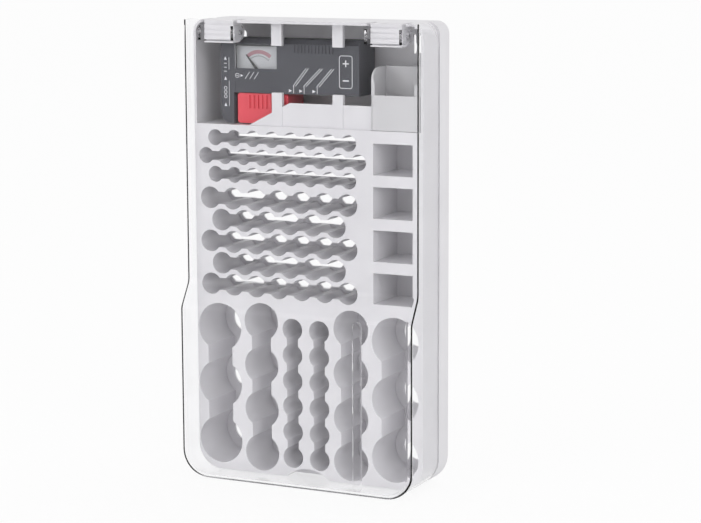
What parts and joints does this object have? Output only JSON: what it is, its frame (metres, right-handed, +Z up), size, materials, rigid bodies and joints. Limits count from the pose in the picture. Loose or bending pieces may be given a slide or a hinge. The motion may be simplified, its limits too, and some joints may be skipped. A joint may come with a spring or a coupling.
{
  "type": "battery storage drawer case",
  "caption": "Flat upright organiser tray with round and rectangular cell pockets, a clear hinged cover, and a needle-meter cell tester clipped in a bay at the top.",
  "frame": {"origin": "centre of the box's footprint, under the middle of the case, at its lowest point", "axes": "+Z up the case, +Y to the back that faces the wall, +X to the right as seen from the front; the clear cover faces -Y and is shut"},
  "size_m": [0.181, 0.0662, 0.3275],
  "materials": {
    "tray_white": "satin moulded white plastic",
    "bin_white": "satin moulded light grey plastic",
    "cover_clear": "clear moulded plastic",
    "steel": "plain drawn steel",
    "tester_grey": "fine-textured dark grey plastic",
    "window_clear": "clear polished plastic",
    "dial_white": "printed white plate",
    "needle_black": "black lacquer",
    "coil_copper": "wound copper wire",
    "magnet_dark": "sintered magnet",
    "brass": "bright brass sheet",
    "ceramic": "cement body",
    "slider_red": "satin moulded red plastic"
  },
  "bodies": {
    "tray": {"pocket_tray": "tray_white", "cell_bin": "bin_white", "hinge_pin_left": "steel", "hinge_pin_right": "steel", "tester_front_shell": "tester_grey", "tester_back_shell": "tester_grey", "meter_window": "window_clear", "dial_plate": "dial_white", "meter_magnet": "magnet_dark", "meter_bracket": "brass", "leg_contact": "brass", "contact_strip": "brass", "load_resistor": "ceramic", "cell_blades": "brass"},
    "cover": {"cover": "cover_clear"},
    "slider": {"slider": "slider_red", "slider_contact": "brass", "slider_wiper": "brass"},
    "needle": {"needle": "needle_black", "needle_spindle": "steel", "moving_coil": "coil_copper"}
  },
  "joints": [
    {"name": "cover_hinge", "type": "hinge", "parent": "tray", "child": "cover", "pos_m": [0, -0.008, 0.3185], "axis": [-1, 0, 0], "range_deg": [0, 100]},
    {"name": "tester_slide", "type": "slide", "parent": "tray", "child": "slider", "axis": [1, 0, 0], "range_m": [0, 0.0615]},
    {"name": "meter_needle", "type": "hinge", "parent": "tray", "child": "needle", "pos_m": [-0.0421, 0.0035, 0.291], "axis": [0, 1, 0], "range_deg": [0, 80], "stiffness_Nm_per_rad": 0.00002}
  ]
}
